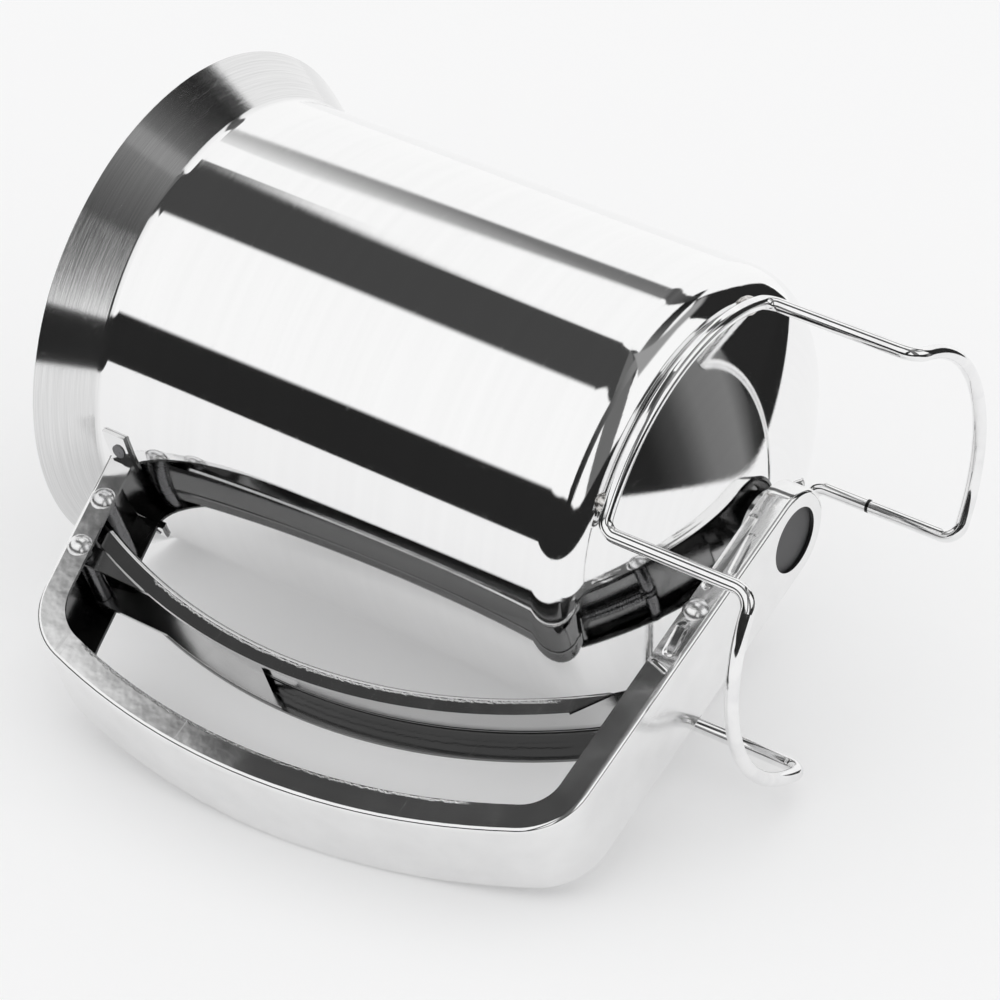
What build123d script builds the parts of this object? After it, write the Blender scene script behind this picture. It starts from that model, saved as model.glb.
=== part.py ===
"""Pancake batter dispenser: a flared steel funnel on a wire stand, with a squeeze trigger that draws a slide valve.

Millimetres. The origin is on the funnel's axis, on the surface that the wire feet stand on.
+Z goes up through the mouth, and +X points from the axis to the handle.
"""

import os
from math import asin, atan2, cos, degrees, radians, sin, sqrt, tan

from build123d import *

os.makedirs("parts", exist_ok=True)

# ---------------------------------------------------------------- fits
seat_gap = 0.05  # between faces that are welded, brazed or clinched together
slide_gap = 0.3  # above, below and beside the valve slide
pin_clearance = 0.05  # radial, between a rivet shank and what turns on it
side_play = 0.2  # endwise, beside whatever turns on a rivet

# ---------------------------------------------------------------- wire stand
wire_r = 1.5
ring_r = 44.9  # centre line of the two arcs under the funnel
leg_angle = 45.0  # of each leg, from the X axis
leg_drop = 35.4  # from the arcs' centre line down to the feet's
ring_bend_r = 3.0
foot_bend_r = 4.0
foot_bow = 16.4  # how far a foot bows out beyond its legs
weld_r = 2.1
weld_gap = 0.5  # between the arcs and the funnel, which the weld beads fill
weld_inset = 3.0  # degrees along an arc, from the end of its bend to its weld bead

# ---------------------------------------------------------------- funnel
vessel_r = 50.0
vessel_sheet = 0.7
wall_height = 111.3  # straight wall, from the shoulder to the corner of the flare
rim_flare = 7.6  # how far the rim stands out beyond the wall
flare_angle = 32.0  # from the axis
flare_bend_r = 4.0
rim_edge_r = 0.21
shoulder_r = 10.0
floor_angle = 28.0  # slope of the bottom where it leaves the shoulder
floor_r = 140.0

# ---------------------------------------------------------------- outlet and valve
nozzle_r = 8.0
nozzle_wall = 0.8
nozzle_drop = 8.8  # from the bottom of the funnel down to the underside of the arm
nozzle_lip = 1.3
lip_t = 0.5
lip_edge_r = 0.2
outlet_r = 7.3
seat_t = 0.8
seat_reach = 12.0  # how far the seat plate runs along the arm
slide_t = 0.8
slide_neck_x = 22.0  # where the slide narrows behind the valve
slide_neck_w = 14.0
slide_tail = 4.5  # slide left behind its rear lug
seal_r = 8.0
lug_t = 0.8
lug_w = 9.0
front_lug_h = 7.4
rear_lug_h = 3.7
tongue_play = 0.6  # at rest, from the trigger's tongue to the front lug
tongue_sweep = 1.6  # at rest, from the tongue to the rear lug, which the tongue nears as it swings

# ---------------------------------------------------------------- handle
handle_w = 22.0
handle_t = 0.8
handle_depth = 6.3
bend_r = 1.1  # outside radius of every folded edge
grip_out = 53.4  # from the funnel's wall to the outermost point of the grip
grip_r = 159.5
grip_rise = 73.5  # from the underside of the arm up to the outermost point of the grip
leg_below_flare = 1.7
leg_slope = 12.4
upper_corner_r = 18.8
lower_corner_r = 14.7
ear_span = 7.6
ear_h = 5.8
ear_rise = 2.7  # an ear's outer end stands this much higher than its root
ear_below_leg = 2.2
spot_r = 1.6
spot_h = 0.2

# ---------------------------------------------------------------- rivets
shank_r = 1.25
head_r = 2.75
head_h = 1.7
rivet_depth = 3.6  # from the top face of the upper leg down to its two rivets
pivot_inset = 32.5  # from the outermost point of the grip in to the pivot
stop_pitch = 12.3  # between the two rivets
sleeve_r = 2.0
spring_span = 17.4  # from the arm rivet to the slide's front lug
arm_rivet_h = 3.9
roller_r = 1.7
hook_space = 3.0  # left between the two rollers for the spring's hook

# ---------------------------------------------------------------- trigger
trigger_w = 17.6
trigger_t = 0.8
trigger_depth = 4.4
trigger_r = 123.0
stop_clearance = 0.46  # at rest, from the stop's sleeve to the top edge of the trigger's web
bulge_drop = 52.4  # from the pivot down to the trigger's outermost point
web_rise = 1.6  # web above the pivot
flange_drop = 3.0  # top of the flanges below the pivot
tongue_clearance = 2.9  # from the end of the tongue down to the slide
taper_start = 15.4  # above the slide's top face
taper_end = 8.0
taper_clear = 17.6  # how far out from the web the taper's cut reaches
bracket_t = 0.8
bracket_boss_r = 2.2
bracket_top_drop = 7.5
bracket_length = 45.0
bracket_slant = 9.0
bracket_below_edge = 0.2  # the bracket's flanges stop this far inside the edges of the trigger's
cheek_inset = 0.2  # between the bracket's web face and its straight cheeks

# ---------------------------------------------------------------- return spring
spring_r = 1.8
spring_wire_r = 0.3
spring_rise = 0.5  # axis above the arm rivet's


def polar(radius, angle):
    """The X, Y of a point at this radius and angle in degrees."""
    return radius * cos(radians(angle)), radius * sin(radians(angle))


def flat(point):
    """The two coordinates of a point that is drawn in the plane of the sketch or path."""
    return point.X, point.Y


# ---------------------------------------------------------------- heights and places worked out from the sizes
ring_z = wire_r + leg_drop
shoulder_cx = vessel_r - shoulder_r
floor_cx = shoulder_cx - (floor_r - shoulder_r) * sin(radians(floor_angle))
floor_cz = ring_z + sqrt((floor_r + wire_r + weld_gap) ** 2 - (ring_r - floor_cx) ** 2)
shoulder_cz = floor_cz - (floor_r - shoulder_r) * cos(radians(floor_angle))
wall_top_z = shoulder_cz + wall_height
rim_r = vessel_r + rim_flare
rim_z = wall_top_z + rim_flare / tan(radians(flare_angle))


def floor_z(radius, depth=0.0):
    """Height of the funnel's bottom at this radius, this deep into its sheet."""
    return floor_cz - sqrt((floor_r - depth) ** 2 - (radius - floor_cx) ** 2)


arm_z = floor_z(nozzle_r) - nozzle_drop
arm_half = handle_w / 2
cup_r = arm_half - handle_t  # inside radius of the arm's rounded end
slide_z = arm_z + handle_t + slide_gap
slide_top = slide_z + slide_t
slide_half = cup_r - slide_gap
seat_z = slide_top + slide_gap
nozzle_z = seat_z + seat_t
lip_r = nozzle_r + nozzle_lip
lip_z = floor_z(lip_r, vessel_sheet) + seat_gap

leg_z = wall_top_z - leg_below_flare
leg_run = Vector(cos(radians(leg_slope)), -sin(radians(leg_slope)))
leg_in = Vector(-sin(radians(leg_slope)), -cos(radians(leg_slope)))
leg_root = Vector(vessel_r, leg_z)
handle_reach = vessel_r + grip_out
pivot_x = handle_reach - pivot_inset
pivot_along = (pivot_x - (leg_root + leg_in * rivet_depth).X) / leg_run.X
pivot = leg_root + leg_in * rivet_depth + leg_run * pivot_along
stop = pivot - leg_run * stop_pitch

web_top = pivot.Y + web_rise
web_top_x = stop.X + sqrt((sleeve_r + stop_clearance) ** 2 - (stop.Y - web_top) ** 2)
trigger_cz = pivot.Y - bulge_drop
trigger_cx = web_top_x - sqrt(trigger_r**2 - (web_top - trigger_cz) ** 2)
trigger_half = trigger_w / 2
tongue_end = slide_top + tongue_clearance


def trigger_angle(height):
    """Angle on the trigger's arc at this height, in degrees."""
    return degrees(asin((height - trigger_cz) / trigger_r))


def trigger_point(radius, height):
    """The X, Z at this radius of the trigger's arc, on the radial line of this height."""
    turn = radians(trigger_angle(height))
    return trigger_cx + radius * cos(turn), trigger_cz + radius * sin(turn)


front_lug_x = trigger_point(trigger_r, tongue_end)[0] - tongue_play - lug_t
rear_lug_x = trigger_point(trigger_r + trigger_t, slide_top + rear_lug_h)[0] + tongue_sweep
slide_end_x = rear_lug_x + lug_t + slide_tail
arm_pin = Vector(front_lug_x - spring_span, arm_z + arm_rivet_h)


# ---------------------------------------------------------------- vessel_form: the funnel's outer shape, used for cutting
def funnel_profile(depth):
    """Half outline of the funnel at this depth into its sheet, closed along the axis; call it inside a BuildLine."""
    flare_up = Vector(sin(radians(flare_angle)), cos(radians(flare_angle)))
    out = Vector(flare_up.Y, -flare_up.X)
    wall = vessel_r - depth
    rim = Vector(rim_r, rim_z) - out * depth
    corner = rim - flare_up * ((rim.X - wall) / flare_up.X)
    bottom_end = Vector(shoulder_cx, shoulder_cz) + Vector(sin(radians(floor_angle)), -cos(radians(floor_angle))) * (
        shoulder_r - depth
    )
    shoulder_mid = polar(shoulder_r - depth, -(90 - floor_angle) / 2)
    middle_angle = (asin(-floor_cx / (floor_r - depth)) + radians(floor_angle)) / 2
    floor_mid = (
        floor_cx + (floor_r - depth) * sin(middle_angle),
        floor_cz - (floor_r - depth) * cos(middle_angle),
    )
    top = rim + flare_up * (depth / flare_up.Y)
    ThreePointArc((0, floor_z(0, depth)), floor_mid, bottom_end)
    ThreePointArc(
        bottom_end,
        (shoulder_cx + shoulder_mid[0], shoulder_cz + shoulder_mid[1]),
        (wall, shoulder_cz),
    )
    run = flare_bend_r * tan(radians(flare_angle) / 2)
    low = corner - Vector(0, 1) * run
    high = corner + flare_up * run
    centre = low + Vector(flare_bend_r, 0)
    Line((wall, shoulder_cz), low)
    ThreePointArc(low, centre + Vector(*polar(flare_bend_r, 180 - flare_angle / 2)), high)
    Line(high, top)
    Line(top, (0, top.Y))
    Line((0, top.Y), (0, floor_z(0, depth)))


with BuildPart() as vessel_form:
    with BuildSketch(Plane.XZ):
        with BuildLine():
            funnel_profile(0.0)
        make_face()
    revolve(axis=Axis.Z)


# ---------------------------------------------------------------- vessel_shell
with BuildPart() as vessel_shell:
    add(vessel_form.part)
    with BuildSketch(Plane.XZ):
        with BuildLine():
            funnel_profile(vessel_sheet)
        make_face()
    revolve(axis=Axis.Z, mode=Mode.SUBTRACT)
    with Locations((0, 0, floor_z(0))):
        Cylinder(nozzle_r + seat_gap, 4 * shoulder_r, mode=Mode.SUBTRACT)
    rim_edges = vessel_shell.edges().filter_by(GeomType.CIRCLE).group_by(Axis.Z)[-1]
    fillet(rim_edges, rim_edge_r)
vessel_shell.part.label = "vessel_shell"


# ---------------------------------------------------------------- outlet_nozzle: spout swaged into the bottom of the funnel
with BuildPart() as outlet_nozzle:
    with BuildSketch(Plane.XY.offset(nozzle_z)):
        Circle(nozzle_r)
        Circle(nozzle_r - nozzle_wall, mode=Mode.SUBTRACT)
    extrude(amount=lip_z + lip_t - nozzle_z)
    with BuildSketch(Plane.XY.offset(lip_z)):
        Circle(lip_r)
        Circle(nozzle_r - nozzle_wall, mode=Mode.SUBTRACT)
    extrude(amount=lip_t)
    fillet(outlet_nozzle.edges().filter_by(GeomType.CIRCLE).group_by(Axis.Z)[-1], lip_edge_r)
outlet_nozzle.part.label = "outlet_nozzle"


# ---------------------------------------------------------------- seat_plate: closes the arm over the slide, under the spout
seat_half = cup_r - seat_gap

with BuildPart() as seat_plate:
    with BuildSketch(Plane.XY.offset(seat_z)):
        Circle(seat_half)
        Rectangle(seat_reach, 2 * seat_half, align=(Align.MIN, Align.CENTER))
        Circle(nozzle_r - nozzle_wall, mode=Mode.SUBTRACT)
    extrude(amount=seat_t)
seat_plate.part.label = "seat_plate"


# ---------------------------------------------------------------- stand_wire: one bent wire, four legs and two bowed feet
leg_x, leg_y = polar(sqrt(ring_r**2 + ring_bend_r**2), leg_angle)
foot_r = (foot_bow**2 + leg_y**2 - foot_bend_r**2) / (2 * foot_bow)
foot_cx = leg_x + foot_bow - foot_r
foot_turn = degrees(atan2(leg_y, leg_x - foot_cx) - atan2(foot_bend_r, foot_r))
ring_turn = leg_angle + degrees(atan2(ring_bend_r, ring_r))
half_bend = sin(radians(45))

with BuildPart() as stand_wire:
    foot_x, foot_y = polar(foot_r, foot_turn)
    foot_end = Vector(foot_cx + foot_x, foot_y, wire_r)
    leg_foot = Vector(leg_x, leg_y, wire_r + foot_bend_r)
    leg_head = Vector(leg_x, leg_y, ring_z - ring_bend_r)
    ring_end = Vector(*polar(ring_r, ring_turn), ring_z)
    foot_mid = foot_end + (Vector(leg_x, leg_y, wire_r) - foot_end) * half_bend
    ring_mid = ring_end + (Vector(leg_x, leg_y, ring_z) - ring_end) * half_bend
    with BuildLine() as quarter:
        foot_half = polar(foot_r, foot_turn / 2)
        ThreePointArc(
            (foot_cx + foot_r, 0, wire_r),
            (foot_cx + foot_half[0], foot_half[1], wire_r),
            foot_end,
        )
        ThreePointArc(foot_end, foot_mid + Vector(0, 0, foot_bend_r * (1 - half_bend)), leg_foot)
        Line(leg_foot, leg_head)
        ThreePointArc(leg_head, ring_mid - Vector(0, 0, ring_bend_r * (1 - half_bend)), ring_end)
        ThreePointArc(ring_end, (*polar(ring_r, (90 + ring_turn) / 2), ring_z), (0, ring_r, ring_z))
    with BuildSketch(Plane(origin=quarter.line @ 0, z_dir=quarter.line % 0)):
        Circle(wire_r)
    sweep()
    mirror(about=Plane.YZ)
    mirror(about=Plane.XZ)
stand_wire.part.label = "stand_wire"


# ---------------------------------------------------------------- stand_welds: four beads, wire to funnel
weld_turn = ring_turn + weld_inset
to_funnel = (Vector(floor_cx, floor_cz) - Vector(ring_r, ring_z)).normalized()
weld_at = Vector(ring_r, ring_z) + to_funnel * wire_r

with BuildPart() as stand_welds:
    for turn in (weld_turn, 180 - weld_turn, 180 + weld_turn, -weld_turn):
        with Locations((*polar(weld_at.X, turn), weld_at.Y)):
            Sphere(weld_r)
    add(vessel_form.part, mode=Mode.SUBTRACT)
    add(stand_wire.part, mode=Mode.SUBTRACT)
stand_welds.part.label = "stand_welds"


# ---------------------------------------------------------------- handle_channel: D-shaped grip and arm, one folded channel
def channel_section(width, depth, sheet):
    """A U with its web at local Y = 0 and its flanges towards -Y; call it inside a BuildSketch."""
    Rectangle(width, depth, align=(Align.CENTER, Align.MAX))
    with Locations((0, -sheet)):
        Rectangle(width - 2 * sheet, depth, align=(Align.CENTER, Align.MAX), mode=Mode.SUBTRACT)


grip_c = Vector(handle_reach - grip_r, arm_z + grip_rise)
upper_line = leg_root + leg_in * upper_corner_r
to_grip = upper_line - grip_c
upper_b = to_grip.dot(leg_run)
upper_c = to_grip.dot(to_grip) - (grip_r - upper_corner_r) ** 2
upper_corner_c = upper_line + leg_run * (sqrt(upper_b**2 - upper_c) - upper_b)
lower_dz = arm_z + lower_corner_r - grip_c.Y
lower_corner_c = Vector(grip_c.X + sqrt((grip_r - lower_corner_r) ** 2 - lower_dz**2), arm_z + lower_corner_r)
upper_turn = degrees(atan2(upper_corner_c.Y - grip_c.Y, upper_corner_c.X - grip_c.X))
lower_turn = degrees(atan2(lower_corner_c.Y - grip_c.Y, lower_corner_c.X - grip_c.X))
leg_inside = 12.0  # how far the swept leg starts inside the funnel, before it is trimmed
wall_seat_r = vessel_r + seat_gap
ear_top = leg_z - ear_below_leg
ear_end_y = cup_r + ear_span

with BuildPart() as ears:
    with BuildSketch(Plane.XY.offset(ear_top - 2 * ear_h)):
        Circle(wall_seat_r + handle_t)
        Circle(wall_seat_r, mode=Mode.SUBTRACT)
    extrude(amount=4 * ear_h)
    with BuildSketch(Plane.YZ):
        with BuildLine():
            Polyline(
                (cup_r, ear_top),
                (ear_end_y, ear_top + ear_rise),
                (ear_end_y, ear_top + ear_rise - ear_h),
                (cup_r, ear_top - ear_h),
                close=True,
            )
        make_face()
        mirror(about=Plane.YZ)
    extrude(amount=2 * vessel_r, mode=Mode.INTERSECT)

with BuildPart() as handle_channel:
    with BuildLine(Plane.XZ) as handle_path:
        Line(flat(leg_root - leg_run * leg_inside), flat(upper_corner_c - leg_in * upper_corner_r))
        CenterArc(flat(upper_corner_c), upper_corner_r, 90 - leg_slope, upper_turn - 90 + leg_slope)
        CenterArc(flat(grip_c), grip_r, upper_turn, lower_turn - upper_turn)
        CenterArc(flat(lower_corner_c), lower_corner_r, lower_turn, -90 - lower_turn)
        Line((lower_corner_c.X, arm_z), (0, arm_z))
    leg_plane = Plane(origin=handle_path.line @ 0, x_dir=(0, 1, 0), z_dir=handle_path.line % 0)
    with BuildSketch(leg_plane) as handle_cut:
        channel_section(handle_w, handle_depth, handle_t)
        fillet(handle_cut.vertices().group_by(Axis.Y)[-1], bend_r)
    sweep()
    with BuildSketch(Plane.YZ) as cup_cut:
        with Locations((0, arm_z)):
            Rectangle(arm_half, handle_depth, align=Align.MIN)
        with Locations((0, arm_z + handle_t)):
            Rectangle(cup_r, handle_depth, align=Align.MIN, mode=Mode.SUBTRACT)
        fillet(cup_cut.vertices().group_by(Axis.X)[-1].sort_by(Axis.Y)[0], bend_r)
    revolve(axis=Axis.Z, revolution_arc=180)
    add(ears.part)
    with BuildSketch(Plane.XZ):
        with Locations(flat(pivot), flat(stop), flat(arm_pin)):
            Circle(shank_r + pin_clearance)
    extrude(amount=handle_w, both=True, mode=Mode.SUBTRACT)
    with Locations((0, 0, arm_z)):
        Cylinder(outlet_r, 4 * handle_t, mode=Mode.SUBTRACT)
    with Locations((0, 0, leg_z)):
        Cylinder(wall_seat_r, 4 * handle_depth, mode=Mode.SUBTRACT)
handle_channel.part.label = "handle_channel"


# ---------------------------------------------------------------- ear_welds: the two spot welds that hold the ears
with BuildPart() as ear_welds:
    ear_turn = degrees(asin((cup_r + ear_span / 2) / vessel_r))
    for turn in (ear_turn, -ear_turn):
        spot_x, spot_y = polar(wall_seat_r + handle_t, turn)
        spot_z = ear_top + (ear_rise - ear_h) / 2
        with BuildSketch(Plane(origin=(spot_x, spot_y, spot_z), z_dir=(spot_x, spot_y, 0))):
            Circle(spot_r)
        extrude(amount=spot_h, both=True)
    add(vessel_form.part, mode=Mode.SUBTRACT)
    add(handle_channel.part, mode=Mode.SUBTRACT)
ear_welds.part.label = "ear_welds"


# ---------------------------------------------------------------- stop_rivet, pivot_rivet, arm_rivet: domed both sides
def domed_end(face_y):
    """Rise of a rivet's head from this flange face, out along Y; call it inside a BuildLine."""
    outward = 1 if face_y > 0 else -1
    dome_r = (head_r**2 + head_h**2) / (2 * head_h)
    middle = polar(dome_r, degrees(asin(head_r / dome_r)) / 2)
    crown = face_y + outward * head_h
    ThreePointArc((face_y, head_r), (crown - outward * (dome_r - middle[0]), middle[1]), (crown, 0))


def make_rivet(label, centre):
    """A solid rivet through both flanges of the channel, with its axis along Y."""
    with BuildPart() as rivet:
        with BuildSketch(Plane(origin=(centre.X, 0, centre.Y), x_dir=(0, 1, 0), z_dir=(1, 0, 0))):
            with BuildLine():
                domed_end(arm_half)
                Line((arm_half, head_r), (arm_half, shank_r))
                Line((arm_half, shank_r), (-arm_half, shank_r))
                Line((-arm_half, shank_r), (-arm_half, head_r))
                domed_end(-arm_half)
                Line((-arm_half - head_h, 0), (arm_half + head_h, 0))
            make_face()
        revolve(axis=Axis((centre.X, 0, centre.Y), (0, 1, 0)))
    rivet.part.label = label
    return rivet


stop_rivet = make_rivet("stop_rivet", stop)
pivot_rivet = make_rivet("pivot_rivet", pivot)
arm_rivet = make_rivet("arm_rivet", arm_pin)


# ---------------------------------------------------------------- stop_sleeve, pivot_sleeve, pivot_spacers, slide_rollers
def make_sleeves(label, centre, outer_r, spans):
    """Plain tubes on a rivet's shank, one for each pair of ends along Y."""
    with BuildPart() as sleeves:
        for low_y, high_y in spans:
            with BuildSketch(Plane(origin=(centre.X, low_y, centre.Y), z_dir=(0, 1, 0))):
                Circle(outer_r)
                Circle(shank_r + pin_clearance, mode=Mode.SUBTRACT)
            extrude(amount=high_y - low_y)
    sleeves.part.label = label
    return sleeves


flange_in = cup_r - side_play
bracket_out = trigger_half - trigger_t - seat_gap
bracket_in = bracket_out - bracket_t
spacer_in = bracket_out + side_play
sleeve_half = bracket_in - side_play
roller_in = hook_space / 2

stop_sleeve = make_sleeves("stop_sleeve", stop, sleeve_r, [(-flange_in, flange_in)])
pivot_sleeve = make_sleeves("pivot_sleeve", pivot, sleeve_r, [(-sleeve_half, sleeve_half)])
pivot_spacers = make_sleeves("pivot_spacers", pivot, sleeve_r, [(-flange_in, -spacer_in), (spacer_in, flange_in)])
slide_rollers = make_sleeves("slide_rollers", arm_pin, roller_r, [(-flange_in, -roller_in), (roller_in, flange_in)])


# ---------------------------------------------------------------- trigger_lever: folded channel, curved to the fingers
flange_top = pivot.Y - flange_drop


def arc_channel(inner_r, top_z, bottom_z, width, depth, sheet):
    """A channel along the trigger's arc, its web towards the funnel at this radius."""
    top_turn = trigger_angle(top_z)
    with BuildPart() as channel:
        with BuildLine(Plane.XZ) as run:
            CenterArc((trigger_cx, trigger_cz), inner_r, top_turn, trigger_angle(bottom_z) - top_turn)
        with BuildSketch(Plane(origin=run.line @ 0, x_dir=(0, -1, 0), z_dir=run.line % 0)) as cut:
            channel_section(width, depth, sheet)
            fillet(cut.vertices().group_by(Axis.Y)[-1], bend_r)
        sweep()
    return channel.part


trigger_channel = arc_channel(trigger_r, flange_top, tongue_end, trigger_w, trigger_depth, trigger_t)

taper_low = slide_top + taper_end
taper_high = slide_top + taper_start
taper_far_r = trigger_r + taper_clear
flange_turn = trigger_angle(flange_top)
tab_turn = trigger_angle(web_top) - flange_turn

with BuildPart() as trigger_lever:
    add(trigger_channel)
    with BuildSketch(Plane.XZ):
        with BuildLine():
            Polyline(
                trigger_point(trigger_r + trigger_t, taper_low),
                trigger_point(trigger_r + trigger_depth, taper_high),
                trigger_point(taper_far_r, taper_high),
                trigger_point(taper_far_r, tongue_end - trigger_depth),
                trigger_point(trigger_r + trigger_t, tongue_end - trigger_depth),
                trigger_point(trigger_r + trigger_t, (taper_low + tongue_end) / 2),
                close=True,
            )
        make_face()
    extrude(amount=trigger_w, both=True, mode=Mode.SUBTRACT)
    with BuildSketch(Plane.XZ):
        with BuildLine():
            CenterArc((trigger_cx, trigger_cz), trigger_r, flange_turn, tab_turn)
            Line(trigger_point(trigger_r, web_top), trigger_point(trigger_r + trigger_t, web_top))
            CenterArc((trigger_cx, trigger_cz), trigger_r + trigger_t, flange_turn, tab_turn)
            Line(trigger_point(trigger_r, flange_top), trigger_point(trigger_r + trigger_t, flange_top))
        make_face()
    extrude(amount=trigger_half - bend_r, both=True)
trigger_lever.part.label = "trigger_lever"


# ---------------------------------------------------------------- hinge_bracket: nests in the trigger, hangs from the pivot
bracket_r = trigger_r + trigger_t + seat_gap
bracket_top = pivot.Y - bracket_top_drop
bracket_foot = bracket_top - bracket_length
bracket_depth = trigger_depth - trigger_t - seat_gap - bracket_below_edge

bracket_channel = arc_channel(bracket_r, bracket_top, bracket_foot, 2 * bracket_out, bracket_depth, bracket_t)

with BuildPart() as hinge_bracket:
    add(bracket_channel)
    with BuildSketch(Plane.XZ):
        with BuildLine():
            Polyline(
                trigger_point(bracket_r - bracket_t, bracket_foot + bracket_slant),
                trigger_point(bracket_r + 2 * bracket_depth, bracket_foot - bracket_slant),
                trigger_point(bracket_r - bracket_t, bracket_foot - bracket_slant),
                close=True,
            )
        make_face()
    extrude(amount=trigger_w, both=True, mode=Mode.SUBTRACT)
    with BuildSketch(Plane.XZ.offset(bracket_in)) as cheek:
        with Locations(flat(pivot)):
            Circle(bracket_boss_r)
        with Locations(
            trigger_point(bracket_r + bracket_depth / 2, bracket_top - bracket_depth),
            trigger_point(bracket_r + bracket_depth / 2, bracket_top - 4 * bracket_depth),
        ):
            Circle(bracket_depth / 2 - cheek_inset)
        make_hull()
    extrude(amount=bracket_t)
    with BuildSketch(Plane.XZ.offset(-bracket_in)):
        add(cheek.sketch_local)
    extrude(amount=-bracket_t)
    with BuildSketch(Plane.XZ):
        with Locations(flat(pivot)):
            Circle(shank_r + pin_clearance)
    extrude(amount=trigger_w, both=True, mode=Mode.SUBTRACT)
hinge_bracket.part.label = "hinge_bracket"


# ---------------------------------------------------------------- slide_plate: valve slide with two lugs round the tongue
spring_z = arm_pin.Y + spring_rise

with BuildPart() as slide_plate:
    with BuildSketch(Plane.XY.offset(slide_z)) as slide_cut:
        Circle(slide_half)
        Rectangle(slide_neck_x, 2 * slide_half, align=(Align.MIN, Align.CENTER))
        Rectangle(slide_end_x, slide_neck_w, align=(Align.MIN, Align.CENTER))
        fillet(slide_cut.vertices().group_by(Axis.X)[-1], 2 * bend_r)
        fillet(slide_cut.vertices().sort_by_distance((slide_neck_x, slide_half))[0], 2 * bend_r)
        fillet(slide_cut.vertices().sort_by_distance((slide_neck_x, -slide_half))[0], 2 * bend_r)
        Circle(seal_r, mode=Mode.SUBTRACT)
    extrude(amount=slide_t)
    with BuildSketch(Plane.XY.offset(slide_z)):
        with Locations((front_lug_x, 0), (rear_lug_x, 0)):
            Rectangle(lug_t, lug_w, align=(Align.MIN, Align.CENTER))
    extrude(amount=slide_t + rear_lug_h)
    with BuildSketch(Plane.XY.offset(slide_z)):
        with Locations((front_lug_x, 0)):
            Rectangle(lug_t, lug_w, align=(Align.MIN, Align.CENTER))
    extrude(amount=slide_t + front_lug_h)
    with BuildSketch(Plane.XY.offset(slide_z)):
        with Locations((front_lug_x + lug_t, 0)):
            Rectangle(rear_lug_x - front_lug_x - lug_t, lug_w, align=(Align.MIN, Align.CENTER))
    extrude(amount=slide_t, mode=Mode.SUBTRACT)
    with BuildSketch(Plane(origin=(front_lug_x, 0, spring_z), z_dir=(1, 0, 0))):
        Circle(spring_r - 2 * spring_wire_r)
    extrude(amount=lug_t, mode=Mode.SUBTRACT)
slide_plate.part.label = "slide_plate"


# ---------------------------------------------------------------- seal_pad: rubber disc bonded in the slide
with BuildPart() as seal_pad:
    with BuildSketch(Plane.XY.offset(slide_z)):
        Circle(seal_r - seat_gap)
    extrude(amount=slide_t)
seal_pad.part.label = "seal_pad"


# ---------------------------------------------------------------- return_spring: pulls the slide shut, hooked on the arm rivet
hook_r = shank_r + pin_clearance + spring_wire_r
spring_start = arm_pin.X + roller_r + slide_gap
spring_end = front_lug_x - slide_gap

with BuildPart() as return_spring:
    with BuildSketch(Plane(origin=(spring_start, 0, spring_z), z_dir=(1, 0, 0))):
        Circle(spring_r)
        Circle(spring_r - 2 * spring_wire_r, mode=Mode.SUBTRACT)
    extrude(amount=spring_end - spring_start)
    with BuildSketch(Plane(origin=(spring_start, 0, spring_z), z_dir=(1, 0, 0))):
        Circle(spring_r)
    extrude(amount=2 * spring_wire_r)
    with BuildSketch(Plane(origin=(arm_pin.X, -spring_wire_r, arm_pin.Y), z_dir=(0, 1, 0))):
        Circle(hook_r + spring_wire_r)
        Circle(hook_r - spring_wire_r, mode=Mode.SUBTRACT)
    extrude(amount=2 * spring_wire_r)
    with BuildSketch(Plane(origin=(arm_pin.X + hook_r, 0, spring_z), z_dir=(1, 0, 0))):
        Rectangle(2 * spring_wire_r, 2 * spring_wire_r)
    extrude(amount=spring_start - arm_pin.X - hook_r)
return_spring.part.label = "return_spring"


# ---------------------------------------------------------------- write every piece
pieces = (
    vessel_shell,
    outlet_nozzle,
    seat_plate,
    stand_wire,
    stand_welds,
    handle_channel,
    ear_welds,
    stop_rivet,
    stop_sleeve,
    pivot_rivet,
    pivot_sleeve,
    pivot_spacers,
    arm_rivet,
    slide_rollers,
    return_spring,
    trigger_lever,
    hinge_bracket,
    slide_plate,
    seal_pad,
)
for piece in pieces:
    export_step(piece.part, f"parts/{piece.part.label}.step")
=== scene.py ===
from math import cos, pi, radians, sin

import bmesh
import bpy
from mathutils import Matrix, Vector


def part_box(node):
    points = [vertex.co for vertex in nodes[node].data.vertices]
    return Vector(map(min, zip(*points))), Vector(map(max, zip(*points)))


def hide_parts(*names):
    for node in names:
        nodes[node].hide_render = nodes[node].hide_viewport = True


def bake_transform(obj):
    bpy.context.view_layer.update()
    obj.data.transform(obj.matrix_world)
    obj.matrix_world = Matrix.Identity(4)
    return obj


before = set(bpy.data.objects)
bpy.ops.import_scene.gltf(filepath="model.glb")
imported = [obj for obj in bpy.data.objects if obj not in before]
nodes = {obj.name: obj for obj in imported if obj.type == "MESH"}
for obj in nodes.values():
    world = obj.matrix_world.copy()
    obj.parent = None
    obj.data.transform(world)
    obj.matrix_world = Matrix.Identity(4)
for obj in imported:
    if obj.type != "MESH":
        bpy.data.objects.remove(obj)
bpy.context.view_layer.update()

scene = bpy.context.scene
scene.view_settings.view_transform = "Standard"


# ---------------------------------------------------------------- camera
# A long lens held low to one side, looking at the underside of the stand.
# The dispenser lies on its side, so its own upright runs across the picture.
lens = bpy.data.cameras.new("camera")
lens.sensor_width = 36.0
lens.lens = 162.16
camera = bpy.data.objects.new("camera", lens)
scene.collection.objects.link(camera)
camera.location = (0.404295, 0.738359, -0.361900)
camera.rotation_euler = (2.51773978, 0.95657452, -2.7755513)
scene.camera = camera


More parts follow.
